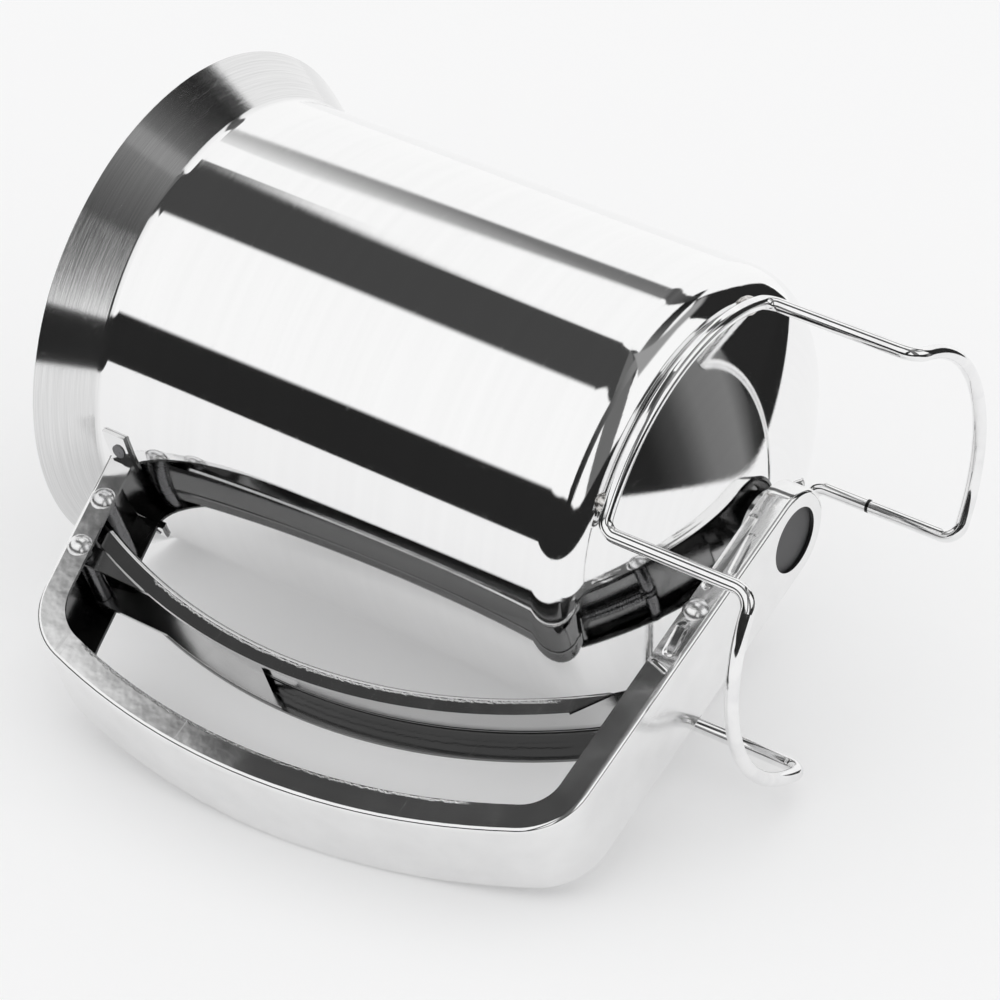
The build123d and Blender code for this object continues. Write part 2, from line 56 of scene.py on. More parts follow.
# ---------------------------------------------------------------- table
# The white table that the dispenser lies on, with a faint painted glow that lightens its shadows: it touches the
# funnel's shoulder, the grip and the rim.
# Seen from below, the table top isn't there, so that nothing hides the other side of the dispenser.
resting_points = [
    Vector((0.019304, -0.046123, 0.047883)),
    Vector((0.101002, -0.010901, 0.066860)),
    Vector((0.023070, -0.052594, 0.171137)),
]
table_up = (resting_points[2] - resting_points[0]).cross(resting_points[1] - resting_points[0]).normalized()
middle = Vector((0.02, 0.0, 0.09))
to_camera = camera.location - middle
table_front = (to_camera - table_up * to_camera.dot(table_up)).normalized()
table_right = table_up.cross(table_front)
table_gap = 0.0002
table_middle = middle - table_up * ((middle - resting_points[0]).dot(table_up) + table_gap)


def shader(name):
    """A new material and its node tree, with only the output in it."""
    material = bpy.data.materials.new(name)
    material.use_nodes = True
    tree = material.node_tree
    tree.nodes.clear()
    tree.nodes.new("ShaderNodeOutputMaterial")
    return material, tree


def set_inputs(tree, node, values):
    """Sets input sockets by name or number, or links them where the value is another node's socket."""
    for key, value in values.items():
        if isinstance(value, bpy.types.NodeSocket):
            tree.links.new(value, node.inputs[key])
        else:
            node.inputs[key].default_value = value


def add_node(tree, kind, values=None, **settings):
    """A node with its settings and its input sockets."""
    node = tree.nodes.new("ShaderNode" + kind)
    for key, value in settings.items():
        setattr(node, key, value)
    set_inputs(tree, node, values or {})
    return node


def maths(tree, operation, *values):
    """The result socket of a maths node."""
    return add_node(tree, "Math", dict(enumerate(values)), operation=operation).outputs[0]


def plus(tree, base, value, times):
    """base + value * times"""
    return maths(tree, "ADD", base, maths(tree, "MULTIPLY", value, times))


def ramp(tree, value, low, high, at_low=0.0, at_high=1.0, smooth=False):
    """Goes from one level to another as the value goes from low to high, and stays there beyond."""
    levels = {"Value": value, "From Min": low, "From Max": high, "To Min": at_low, "To Max": at_high}
    kind = "SMOOTHSTEP" if smooth else "LINEAR"
    return add_node(tree, "MapRange", levels, interpolation_type=kind).outputs["Result"]


def noise(tree, place, scale, detail, **others):
    """Cloudy values round a half, in patches that get smaller as the scale grows."""
    return add_node(tree, "TexNoise", {"Vector": place, "Scale": scale, "Detail": detail, **others}).outputs["Fac"]


def blended(tree, factor, first, second):
    """The first colour, going over into the second as the factor goes from 0 to 1."""
    return add_node(tree, "Mix", {"Factor": factor, 6: first, 7: second}, data_type="RGBA").outputs[2]


def grey(tone):
    return (tone, tone, tone, 1)


def parts(tree, place):
    """The x, y and z of a place or direction."""
    return add_node(tree, "SeparateXYZ", {0: place}).outputs


def output_of(tree):
    return next(n for n in tree.nodes if n.type == "OUTPUT_MATERIAL")


table_top = bmesh.new()
table_left_edge, table_right_edge = 0.80, 0.27
table_front_edge, table_back_edge = 0.27, 1.6
corners = []
for across, along in (
    (-table_left_edge, -table_back_edge),
    (table_right_edge, -table_back_edge),
    (table_right_edge, table_front_edge),
    (-table_left_edge, table_front_edge),
):
    corners.append(table_top.verts.new(table_middle + table_right * across + table_front * along))
face = table_top.faces.new(corners)
face.normal_update()
if face.normal.dot(table_up) < 0:
    face.normal_flip()
table_mesh = bpy.data.meshes.new("table")
table_top.to_mesh(table_mesh)
table_top.free()
table = bpy.data.objects.new("table", table_mesh)
scene.collection.objects.link(table)
table_paint, tree = shader("table_paint")
coords = add_node(tree, "TexCoord").outputs["Object"]
mottle = noise(tree, coords, 9.0, 3.0)
paint = blended(tree, mottle, (0.73, 0.73, 0.733, 1), (0.745, 0.745, 0.747, 1))
# painted light: a faint glow in the table's paint lightens the shadows on it
painted_glow = 0.2
matt = add_node(tree, "BsdfDiffuse", {"Color": paint})
painted_glow_light = add_node(tree, "Emission", {"Color": (1, 1, 1, 1), "Strength": painted_glow})
matt = add_node(tree, "AddShader", {0: matt.outputs[0], 1: painted_glow_light.outputs[0]})
back = add_node(tree, "NewGeometry").outputs["Backfacing"]
clear = add_node(tree, "BsdfTransparent")
both = add_node(tree, "MixShader", {0: back, 1: matt.outputs[0], 2: clear.outputs[0]})
tree.links.new(both.outputs[0], output_of(tree).inputs["Surface"])
table_mesh.materials.append(table_paint)


# ---------------------------------------------------------------- studio light
# Even white light from all round. Polished metal also mirrors the studio itself: big white panels,
# with the dark room between them, in a band behind the camera and in a gap overhead.
world = bpy.data.worlds.new("studio")
scene.world = world
world.use_nodes = True
tree = world.node_tree
tree.nodes.clear()
direction = add_node(tree, "TexCoord").outputs["Generated"]


def along(axis):
    """How far a direction leans towards this axis."""
    return add_node(tree, "VectorMath", {0: direction, 1: axis}, operation="DOT_PRODUCT").outputs["Value"]


height = maths(tree, "MULTIPLY", maths(tree, "ARCSINE", along(table_up)), 1 / pi)
height = maths(tree, "ADD", height, 0.5)
turn = maths(tree, "MULTIPLY", maths(tree, "ARCTAN2", along(table_right), along(table_front)), 0.5 / pi)
turn = maths(tree, "ADD", turn, 0.5)


def traced(line):
    """A value that follows a line of (degrees round from the camera, value from 0 to 1)."""
    curve = tree.nodes.new("ShaderNodeFloatCurve")
    points = curve.mapping.curves[0].points
    while len(points) < len(line):
        points.new(0.5, 0.5)
    for point, (around, value) in zip(points, line):
        point.location = ((around + 180) / 360, value)
        point.handle_type = "VECTOR"
    curve.mapping.update()
    tree.links.new(turn, curve.inputs["Value"])
    return curve.outputs[0]


def above(line, blur):
    """White above a line of (degrees round from the camera, degrees up from the table)."""
    over = maths(tree, "SUBTRACT", height, traced([(around, (up + 90) / 180) for around, up in line]))
    return ramp(tree, over, -blur / 360, blur / 360, smooth=True)


def dark_gap(picture, tone, blur, low, high):
    """Darkens the studio between two lines, to one tone or to tones that follow a line round the camera.
    blur is in degrees."""
    between = maths(tree, "MULTIPLY", above(low, blur), maths(tree, "SUBTRACT", 1.0, above(high, blur)))
    if isinstance(tone, list):
        tone = traced(tone)
    return add_node(tree, "Mix", {"Factor": between, 2: picture, 3: tone}, data_type="FLOAT").outputs[0]


mirrored = add_node(tree, "Value").outputs[0]
mirrored.default_value = 1.0
# overhead gap
mirrored = dark_gap(
    mirrored, tone=0.058, blur=2.5,
    low=[(-180, 90), (-156, 90), (-154, 57), (-146, 50), (-112, 50), (-104, 54), (-96, 57), (-88, 58.5), (-80, 61),
         (-72, 64), (-60, 67), (-45, 69), (-30, 69), (-18, 67), (-5, 62), (10, 55), (22, 46), (45, 45), (55, 62),
         (62, 80), (66, 90), (180, 90)],
    high=[(-180, 90), (-158, 56), (-150, 58.5), (-145, 61), (-140, 63.5), (-137, 67), (-132, 80), (-129, 90),
          (180, 90)],
)
# between the two front panels
mirrored = dark_gap(
    mirrored, tone=0.15, blur=6.0,
    low=[(-180, 90), (10, 90), (16, 5), (42, 5), (46, 90), (180, 90)],
    high=[(-180, 90), (180, 90)],
)
# frame of the front panels, an arch over the camera
mirrored = dark_gap(
    mirrored, blur=2.5,
    tone=[(-180, 0.02), (-14, 0.02), (-6, 0.03), (0, 0.05), (10, 0.09), (25, 0.15), (45, 0.22), (65, 0.20),
          (85, 0.13), (105, 0.05), (118, 0.015), (180, 0.015)],
    low=[(-180, 90), (-20, 90), (-19, 0), (-12, 4), (-8, 11), (-4, 18), (0, 25), (5, 32.5), (10, 38.5), (15, 43),
         (20, 46.5), (30, 52.5), (40, 55), (50, 56.5), (60, 57.2), (75, 57), (90, 55), (100, 52.5), (110, 48.5),
         (120, 42), (131, 35), (133, 90), (180, 90)],
    high=[(-180, 90), (-19, 18), (-12, 32), (-8, 39), (-4, 44), (0, 48), (5, 52), (10, 56), (15, 60), (20, 63),
          (30, 67), (40, 69.5), (50, 71.5), (60, 72.5), (75, 72.5), (90, 71), (100, 68.5), (110, 64.5), (120, 58),
          (128, 50), (133, 42), (180, 40)],
)
# behind the camera and to the right, above the table's edge
mirrored = dark_gap(
    mirrored, blur=2.0,
    tone=[(-180, 0.018), (68, 0.018), (76, 0.06), (84, 0.17), (96, 0.20), (104, 0.05), (110, 0.018), (180, 0.018)],
    low=[(-180, 90), (-130, 90), (-128, -40), (138, -40), (140, 90), (180, 90)],
    high=[(-180, 16), (-60, 16.5), (-30, 16), (-14, 13), (0, 6), (10, 4), (25, 7), (45, 10), (60, 8), (100, 8),
          (104, 4), (124, 4), (138, -6), (180, -10)],
)
# right of the front panels
mirrored = dark_gap(
    mirrored, tone=0.02, blur=2.0,
    low=[(-180, 90), (96, 90), (98, 0), (104, -10), (138, -14), (142, 90), (180, 90)],
    high=[(-180, 40), (98, 34), (102, 42), (121, 42), (123, 24), (128, 12), (138, 0), (146, -14), (180, -14)],
)
# thin gap round the backdrop
mirrored = dark_gap(
    mirrored, blur=2.0,
    tone=[(-180, 0.22), (-176, 0.40), (-170, 0.75), (-160, 1.0), (120, 0.03), (140, 0.08), (160, 0.12), (170, 0.09),
          (180, 0.20)],
    low=[(-180, 38.5), (-176, 39.5), (-172, 42), (-168, 46), (-166, 90), (121, 90), (123, 38), (130, 45),
         (140, 48.5), (152, 48), (165, 42.5), (176, 38.5), (180, 38.5)],
    high=[(-180, 46.5), (-176, 47.5), (-170, 49), (-166, 50), (121, 42), (124, 48), (130, 54), (140, 57.5),
          (152, 59), (162, 57.5), (172, 51.5), (177, 48.5), (180, 46.5)],
)
# gap between the right front panel and the overhead one
mirrored = dark_gap(
    mirrored, tone=0.33, blur=5.0,
    low=[(-180, 90), (48, 90), (52, 45), (70, 43), (90, 40), (100, 36), (110, 34), (120, 34), (122, 90), (180, 90)],
    high=[(-180, 60), (52, 80), (62, 72), (75, 60), (90, 51), (105, 45), (120, 39), (180, 39)],
)
path = add_node(tree, "LightPath").outputs
seen_white = 0.94
plain_light = 1.0
first_mirror = maths(tree, "MULTIPLY", path["Is Glossy Ray"], maths(tree, "LESS_THAN", path["Diffuse Depth"], 0.5))
glossy = add_node(tree, "Mix", {"Factor": first_mirror, 2: plain_light, 3: mirrored}, data_type="FLOAT").outputs[0]
seen = add_node(tree, "Mix", {"Factor": path["Is Camera Ray"], 2: glossy, 3: seen_white}, data_type="FLOAT").outputs[0]
sky = add_node(tree, "Background", {"Color": (1, 1, 1, 1), "Strength": seen})
tree.links.new(sky.outputs[0], tree.nodes.new("ShaderNodeOutputWorld").inputs["Surface"])


# ---------------------------------------------------------------- funnel
# The funnel is drawn from one sheet of stainless steel and polished on the lathe.
# Very fine rings are left round it, coarser on the flare, and its inside is satin.
def new_group(name, inputs, outputs):
    """A node group with inputs (name, kind, default) and outputs (name, kind)."""
    group = bpy.data.node_groups.new(name, "ShaderNodeTree")
    for label, kind, value in inputs:
        socket = group.interface.new_socket(label, in_out="INPUT", socket_type=kind)
        if value is not None:
            socket.default_value = value
    for label, kind in outputs:
        group.interface.new_socket(label, in_out="OUTPUT", socket_type=kind)
    return group, group.nodes.new("NodeGroupInput").outputs, group.nodes.new("NodeGroupOutput").inputs


def use_group(tree, group, values):
    """The outputs of a node group that is put into this tree."""
    node = tree.nodes.new("ShaderNodeGroup")
    node.node_tree = group
    set_inputs(tree, node, values)
    return node.outputs


def vector_maths(tree, operation, *values):
    """The result socket of a vector maths node."""
    node = add_node(tree, "VectorMath", dict(enumerate(values)), operation=operation)
    return node.outputs["Value" if operation in ("DOT_PRODUCT", "DISTANCE") else "Vector"]


def stretched(tree, sides, factors):
    """A place from its three sides, each times its own factor."""
    sides = [maths(tree, "MULTIPLY", side, factor) for side, factor in zip(sides, factors)]
    return add_node(tree, "CombineXYZ", dict(enumerate(sides))).outputs[0]


def bump(tree, height, distance, **others):
    """The normal of a surface with this height times this distance."""
    return add_node(tree, "Bump", {"Height": height, "Strength": 1.0, "Distance": distance, **others}).outputs[0]


def surface(tree, colour, rough, normal=None, metallic=1.0):
    """Ends a material in one surface."""
    values = {"Base Color": colour, "Metallic": metallic, "Roughness": rough}
    if normal:
        values["Normal"] = normal
    principled = add_node(tree, "BsdfPrincipled", values)
    tree.links.new(principled.outputs[0], output_of(tree).inputs["Surface"])


number, vector = "NodeSocketFloat", "NodeSocketVector"

lathe_rings, given, wanted = new_group(
    "lathe_rings",
    [("Place", vector, None), ("Rings per metre", number, 9000.0), ("Length", number, 60.0)],
    [("Rings", number), ("Bands", number)],
)
bands_per_metre, band_length = 420.0, 9.0
x, y, z = parts(lathe_rings, given["Place"])
squares = [maths(lathe_rings, "MULTIPLY", side, side) for side in (x, y)]
across_rings = maths(lathe_rings, "ADD", maths(lathe_rings, "SQRT", maths(lathe_rings, "ADD", *squares)), z)
ring_sides = (x, y, across_rings)
ring_place = stretched(lathe_rings, ring_sides, (given["Length"], given["Length"], given["Rings per metre"]))
lathe_rings.links.new(noise(lathe_rings, ring_place, 1.0, 3.0, Roughness=0.6), wanted["Rings"])
band_place = stretched(lathe_rings, ring_sides, (band_length, band_length, bands_per_metre))
lathe_rings.links.new(noise(lathe_rings, band_place, 1.0, 2.0), wanted["Bands"])

handling_marks, given, wanted = new_group(
    "handling_marks",
    [("Place", vector, None), ("Size", number, 40.0), ("Scratches", number, 0.5)],
    [("Smudge", number), ("Scratch", number)],
)
smudge = noise(handling_marks, given["Place"], given["Size"], 4.0, Distortion=0.6)
handling_marks.links.new(ramp(handling_marks, smudge, 0.42, 0.68), wanted["Smudge"])
hairlines = None
for turned, drawn_out in (((0.4, 0.9, 0.2), (14.0, 700.0, 700.0)), ((1.3, 0.2, 1.0), (22.0, 900.0, 900.0))):
    laid = add_node(handling_marks, "Mapping", {"Vector": given["Place"], "Rotation": turned, "Scale": drawn_out})
    thin = ramp(handling_marks, noise(handling_marks, laid.outputs[0], 1.0, 1.0), 0.70, 0.76)
    hairlines = maths(handling_marks, "MAXIMUM", hairlines, thin) if hairlines else thin
handling_marks.links.new(maths(handling_marks, "MULTIPLY", hairlines, given["Scratches"]), wanted["Scratch"])


def turned_steel(
    name, tone, rough, rings, ring_depth, smear, scratches=0.3, flare=None, satin_inside=None, profile=None
):
    """Lathe-polished stainless steel: rings round the axis, faint smears and a few hairline scratches.
    flare: (height where it starts, how much rougher, how much deeper its rings are, its tone)
    satin_inside: (how much rougher, how much of its light is still mirrored) for the side that holds batter
    profile: (height of the shoulder's centre, its radius, height of the bottom's centre, its radius, height where the
    flare's bend starts, its radius, the flare's angle) so that mirrored edges run true round the bends"""
    material, tree = shader(name)
    texture = add_node(tree, "TexCoord").outputs
    coords, face = texture["Object"], texture["Normal"]
    x, y, z = parts(tree, coords)
    outwards = vector_maths(tree, "NORMALIZE", add_node(tree, "CombineXYZ", {0: x, 1: y}).outputs[0])
    lathe = use_group(tree, lathe_rings, {"Place": coords, "Rings per metre": rings, "Length": 45.0})
    marks = use_group(tree, handling_marks, {"Place": coords, "Size": 28.0, "Scratches": scratches})
    ring_height = lathe["Rings"]
    dull = plus(tree, rough, marks["Smudge"], smear)
    shade = blended(tree, lathe["Bands"], grey(tone * 0.97), grey(min(tone * 1.02, 1)))
    if flare:
        start, rougher, deeper, brushed_tone = flare
        edge = 0.0015
        on_flare = ramp(tree, z, start, start + edge)
        ring_height = maths(tree, "MULTIPLY", ring_height, plus(tree, 1.0, on_flare, deeper - 1))
        dull = plus(tree, dull, on_flare, rougher)
        streaks = ramp(tree, lathe["Rings"], 0.3, 0.7)
        brushed = blended(tree, streaks, grey(brushed_tone * 0.88), grey(brushed_tone * 1.08))
        shade = blended(tree, on_flare, shade, brushed)
    dull = plus(tree, dull, marks["Scratch"], 0.12)
    mirror_share = 1.0
    if satin_inside:
        rougher, share = satin_inside
        facing = vector_maths(tree, "DOT_PRODUCT", vector_maths(tree, "ADD", outwards, (0, 0, -1)), face)
        inner = ramp(tree, facing, -0.2, 0.0, 1.0, 0.0)
        dull = plus(tree, dull, inner, rougher)
        mirror_share = maths(tree, "SUBTRACT", 1.0, maths(tree, "MULTIPLY", inner, 1 - share))
    under_rings = {}
    if profile:
        shoulder_z, shoulder_r, bottom_z, bottom_r, bend_z, bend_r, flare_angle = profile
        flare_sine = sin(radians(flare_angle))
        on_shoulder = ramp(tree, z, shoulder_z - shoulder_r, shoulder_z, -1.0, 0.0)
        on_bottom = ramp(tree, z, bottom_z - bottom_r, bottom_z, -1.0, 0.0)
        on_bend = ramp(tree, z, bend_z, bend_z + bend_r * flare_sine, 0.0, -flare_sine)
        down = maths(tree, "ADD", maths(tree, "MAXIMUM", on_shoulder, on_bottom), on_bend)
        across = maths(tree, "SQRT", maths(tree, "SUBTRACT", 1.0, maths(tree, "MULTIPLY", down, down)))
        level = add_node(tree, "VectorMath", {0: outwards, "Scale": across}, operation="SCALE").outputs[0]
        true_face = vector_maths(tree, "ADD", level, add_node(tree, "CombineXYZ", {2: down}).outputs[0])
        agrees = ramp(tree, vector_maths(tree, "DOT_PRODUCT", true_face, face), 0.85, 0.92)
        smooth = add_node(tree, "Mix", {"Factor": agrees, 4: face, 5: true_face}, data_type="VECTOR")
        under_rings["Normal"] = smooth.outputs[1]
    surface(tree, shade, dull, bump(tree, ring_height, ring_depth, **under_rings), mirror_share)
    return material


def dress(node, material):
    """Gives a carried-over solid its material."""
    mesh = nodes[node].data
    mesh.materials.clear()
    mesh.materials.append(material)


flare_height = 0.0126
flare_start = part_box("vessel_shell")[1].z - flare_height
shoulder = (0.047883, 0.010)
bottom = (0.162666, 0.140)
flare_bend = (0.158036, 0.004, 32.0)
funnel_steel = turned_steel(
    "funnel_steel", tone=0.93, rough=0.035, rings=6500.0, ring_depth=0.0000022, smear=0.02,
    flare=(flare_start, 0.05, 2.5, 0.78), satin_inside=(0.12, 0.86), profile=(*shoulder, *bottom, *flare_bend),
)
dress("vessel_shell", funnel_steel)


# ---------------------------------------------------------------- spout and seat plate
# Short drawn tube swaged into the funnel's bottom, with the flat plate that the slide runs under.
# They are satin, because nobody sees them.
spout_steel = turned_steel("spout_steel", tone=0.52, rough=0.14, rings=4000.0, ring_depth=0.0000015, smear=0.06)
dress("outlet_nozzle", spout_steel)
dress("seat_plate", spout_steel)


# ---------------------------------------------------------------- folded sheet: handle, trigger, bracket, slide
# Strip steel with the mill's straight grain along it, folded into channels and tumbled.
# Sizes on the sheet's sides are in millimetres.
rolled_grain, given, wanted = new_group(
    "rolled_grain",
    [("Place", vector, None), ("Lines", number, 3000.0), ("Length", number, 60.0)],
    [("Grain", number), ("Cloud", number)],
)
grain_sides = parts(rolled_grain, given["Place"])
grain_place = stretched(rolled_grain, grain_sides, (given["Length"], given["Lines"], given["Length"]))
rolled_grain.links.new(noise(rolled_grain, grain_place, 1.0, 3.0), wanted["Grain"])
rolled_grain.links.new(noise(rolled_grain, given["Place"], 130.0, 3.0), wanted["Cloud"])

pressed_mark, given, wanted = new_group(
    "pressed_mark",
    [("Place", vector, None), ("From", vector, None), ("To", vector, None), ("Half width", number, 0.001)],
    [("Mark", number)],
)
reach = vector_maths(pressed_mark, "SUBTRACT", given["To"], given["From"])
off = vector_maths(pressed_mark, "SUBTRACT", given["Place"], given["From"])
off_reach = vector_maths(pressed_mark, "DOT_PRODUCT", off, reach)
reach_reach = vector_maths(pressed_mark, "DOT_PRODUCT", reach, reach)
share = add_node(pressed_mark, "Clamp", {0: maths(pressed_mark, "DIVIDE", off_reach, reach_reach)}).outputs[0]
nearest = add_node(pressed_mark, "VectorMath", {0: reach, "Scale": share}, operation="SCALE").outputs[0]
gap = vector_maths(pressed_mark, "DISTANCE", off, nearest)
full_depth = maths(pressed_mark, "MULTIPLY", given["Half width"], 0.35)
mark = ramp(pressed_mark, gap, full_depth, given["Half width"], 1.0, 0.0, smooth=True)
deeper = plus(pressed_mark, 0.25, share, 0.75)
pressed_mark.links.new(maths(pressed_mark, "MULTIPLY", mark, deeper), wanted["Mark"])


def on_side(point_mm):
    """A place on the side of the folded sheet from its X and Z in millimetres."""
    return (point_mm[0] / 1000, 0.0, point_mm[1] / 1000)


def strip_steel(
    name, tone, rough, grain_depth, wave_depth,
    scratches=0.5, inside=None, web=None, bead=None, fold=None, lean=None, marks=(),
):
    """Folded strip steel: straight grain, a slightly wavy surface, dull clouds and scratches.
    inside: (centre, which way is out, tone) for painted shade inside the channel, darker on the far side and lighter on
    the near side, where the inside is also rougher
    web: tone of painted shade on the outside between the two sides
    bead: (place across the strip, half width, height) of a stiffening bead along the web
    fold: (centre, radius of the edge, from height, to height) for the edge that tumbling has rounded
    lean: (centre, radius of the edge, from height, to height, slope) where the sides lean outwards
    marks: (from, to, half width, depth at the far end) of what the press left on the sides"""
    material, tree = shader(name)
    texture = add_node(tree, "TexCoord").outputs
    coords = texture["Object"]
    place, face = parts(tree, coords), parts(tree, texture["Normal"])
    flat_place = add_node(tree, "CombineXYZ", {0: place[0], 1: 0.0, 2: place[2]}).outputs[0]
    rolled = use_group(tree, rolled_grain, {"Place": coords, "Lines": 5200.0, "Length": 90.0})
    wear = use_group(tree, handling_marks, {"Place": coords, "Size": 70.0, "Scratches": scratches})
    shade = blended(tree, rolled["Cloud"], grey(tone * 0.93), grey(min(tone * 1.05, 1)))
    dull = plus(tree, plus(tree, rough, wear["Smudge"], 0.05), wear["Scratch"], 0.15)
    shape = maths(tree, "MULTIPLY", rolled["Cloud"], wave_depth)

    def from_edge(centre, edge_r):
        """How far a place on the side is outside the channel's edge."""
        return maths(tree, "SUBTRACT", vector_maths(tree, "DISTANCE", flat_place, on_side(centre)), edge_r / 1000)

    if web:
        # painted shade on the web, the outside between the two sides
        web_shade_mask = ramp(tree, maths(tree, "ABSOLUTE", face[1]), 0.3, 0.6, 1.0, 0.0)
        shade = blended(tree, web_shade_mask, shade, grey(web))
    if inside:
        # painted shade inside the channel, with painted light on its near side; the inside is also made rougher
        centre, out, inside_shade_tone = inside
        side_weight = 8.0
        leaning = maths(tree, "MULTIPLY", face[1], maths(tree, "MULTIPLY", place[1], side_weight))
        for axis in (0, 2):
            away = maths(tree, "MULTIPLY", maths(tree, "SUBTRACT", place[axis], on_side(centre)[axis]), out)
            leaning = plus(tree, leaning, face[axis], away)
        inside_shade_mask = ramp(tree, leaning, -0.004, 0.0, 1.0, 0.0)
        painted_light_near_side = ramp(tree, place[1], -0.0045, -0.001)
        dark = blended(tree, painted_light_near_side, grey(inside_shade_tone * 0.6), grey(inside_shade_tone * 1.8))
        shade = blended(tree, inside_shade_mask, shade, dark)
        dull = plus(tree, dull, inside_shade_mask, 0.08)
    if bead:
        across, half_width, rise = bead
        off_bead = maths(tree, "ABSOLUTE", maths(tree, "SUBTRACT", place[1], across / 1000))
        raised = ramp(tree, off_bead, 0.0, half_width / 1000, rise / 1000, 0.0, smooth=True)
        shape = maths(tree, "ADD", shape, raised)
    if fold:
        centre, edge_r, low, high = fold
        rounded_width, rounded_depth, raggedness, fade = 0.0007, 0.00005, 0.0016, 0.004
        ragged = maths(tree, "SUBTRACT", noise(tree, coords, 900.0, 4.0, Roughness=0.7), 0.5)
        in_from_edge = plus(tree, from_edge(centre, edge_r), ragged, raggedness)
        rounded = ramp(tree, in_from_edge, 0.0, rounded_width, -rounded_depth, 0.0, smooth=True)
        off_middle = maths(tree, "ABSOLUTE", maths(tree, "SUBTRACT", place[2], (low + high) / 2000))
        half_length = (high - low) / 2000
        worn = ramp(tree, off_middle, half_length - fade, half_length, 1.0, 0.0, smooth=True)
        shape = plus(tree, shape, rounded, worn)
    if lean:
        centre, edge_r, low, high, slope = lean
        leans = ramp(tree, place[2], low / 1000, high / 1000, 0.0, -slope, smooth=True)
        shape = plus(tree, shape, from_edge(centre, edge_r), leans)
    for start, end, half_width, depth in marks:
        ends = {"Place": flat_place, "From": on_side(start), "To": on_side(end), "Half width": half_width / 1000}
        shape = plus(tree, shape, use_group(tree, pressed_mark, ends)["Mark"], -depth / 1000)
    surface(tree, shade, dull, bump(tree, rolled["Grain"], grain_depth, Normal=bump(tree, shape, 1.0)))
    return material


grip_centre, grip_edge_r = (-56.1, 90.4), 153.2
handle_middle = (40.0, 85.0)
channel_steel = strip_steel(
    "channel_steel", tone=0.88, rough=0.075, grain_depth=0.0000010, wave_depth=0.00003,
    # painted shade inside the handle's channel
    inside=(handle_middle, 1, 0.14),
    fold=(grip_centre, grip_edge_r, 36.0, 134.0),
    lean=(grip_centre, grip_edge_r, 45.0, 92.0, 0.15),
    marks=(
        ((5.0, 22.0), (23.0, 21.8), 1.3, 0.16),
        ((9.0, 19.9), (18.0, 18.8), 1.0, 0.10),
        ((34.0, 20.9), (40.0, 20.2), 1.6, 0.30),
        ((43.5, 21.9), (44.6, 18.6), 0.7, 0.14),
    ),
)
dress("handle_channel", channel_steel)
trigger_centre, trigger_edge_r = (-49.4, 96.8), 124.1
trigger_steel = strip_steel(
    "trigger_steel", tone=0.70, rough=0.06, grain_depth=0.0000007, wave_depth=0.00003,
    # painted shade inside the trigger's channel
    inside=(trigger_centre, -1, 0.36),
    # painted shade on the trigger's web, which faces the funnel
    web=0.24,
    bead=(-3.1, 0.8, 0.3),
    fold=(trigger_centre, trigger_edge_r, 34.0, 132.0),
)
dress("trigger_lever", trigger_steel)
bracket_steel = strip_steel("bracket_steel", tone=0.62, rough=0.16, grain_depth=0.0000012, wave_depth=0.00003)
dress("hinge_bracket", bracket_steel)
slide_steel = strip_steel("slide_steel", tone=0.34, rough=0.22, grain_depth=0.0000012, wave_depth=0.00001)
dress("slide_plate", slide_steel)


# ---------------------------------------------------------------- wire stand
# Hard-drawn stainless wire, bent into arcs, legs and feet, bright from drawing.
# Its two ends meet in a butt weld half way up one leg.
wire_steel, tree = shader("wire_steel")
coords = add_node(tree, "TexCoord").outputs["Object"]
marks = use_group(tree, handling_marks, {"Place": coords, "Size": 160.0, "Scratches": 0.4})
shade = blended(tree, marks["Smudge"], (0.92, 0.92, 0.92, 1), (0.85, 0.85, 0.855, 1))
butt_weld = (-0.03182, -0.03182, 0.0232)
seam_half_height, seam_fade = 0.0003, 0.0002
off_weld = [maths(tree, "ABSOLUTE", side) for side in parts(tree, vector_maths(tree, "SUBTRACT", coords, butt_weld))]
beside = maths(tree, "MULTIPLY", maths(tree, "ADD", off_weld[0], off_weld[1]), 0.1)
off_seam = maths(tree, "MAXIMUM", off_weld[2], beside)
seam = ramp(tree, off_seam, seam_half_height, seam_half_height + seam_fade, 1.0, 0.0)
shade = blended(tree, seam, shade, grey(0.03))
dents = bump(tree, noise(tree, coords, 1500.0, 2.0), 0.000002)
surface(tree, shade, plus(tree, 0.06, marks["Smudge"], 0.06), dents)
dress("stand_wire", wire_steel)


# ---------------------------------------------------------------- welds
# Small beads left as they were welded: rippled, a little grey and straw-coloured.
# The flat spot welds in the handle's ears are darker grey.
weld_steel, tree = shader("weld_steel")
coords = add_node(tree, "TexCoord").outputs["Object"]
ripple = noise(tree, coords, 900.0, 4.0, Distortion=0.8)
below_ears = 0.1
at_ears = maths(tree, "GREATER_THAN", parts(tree, coords)[2], below_ears)
tint = blended(tree, ripple, (0.56, 0.52, 0.46, 1), (0.86, 0.86, 0.87, 1))
tint = blended(tree, at_ears, tint, (0.16, 0.16, 0.165, 1))
surface(tree, tint, plus(tree, 0.12, ripple, 0.25), bump(tree, ripple, 0.0001))
dress("stand_welds", weld_steel)
dress("ear_welds", weld_steel)


# ---------------------------------------------------------------- rivets, sleeves and rollers
# Cold-headed stainless pins with domed ends, and the short tubes that turn on them.
# Inside the channel they are painted dark, as painted shade.
rivet_steel, tree = shader("rivet_steel")
coords = add_node(tree, "TexCoord").outputs["Object"]
marks = use_group(tree, handling_marks, {"Place": coords, "Size": 260.0, "Scratches": 0.3})
channel_half_width = 0.0104
channel_shade_mask = maths(tree, "LESS_THAN", maths(tree, "ABSOLUTE", parts(tree, coords)[1]), channel_half_width)
shade = blended(tree, marks["Smudge"], (0.88, 0.88, 0.88, 1), (0.76, 0.76, 0.77, 1))
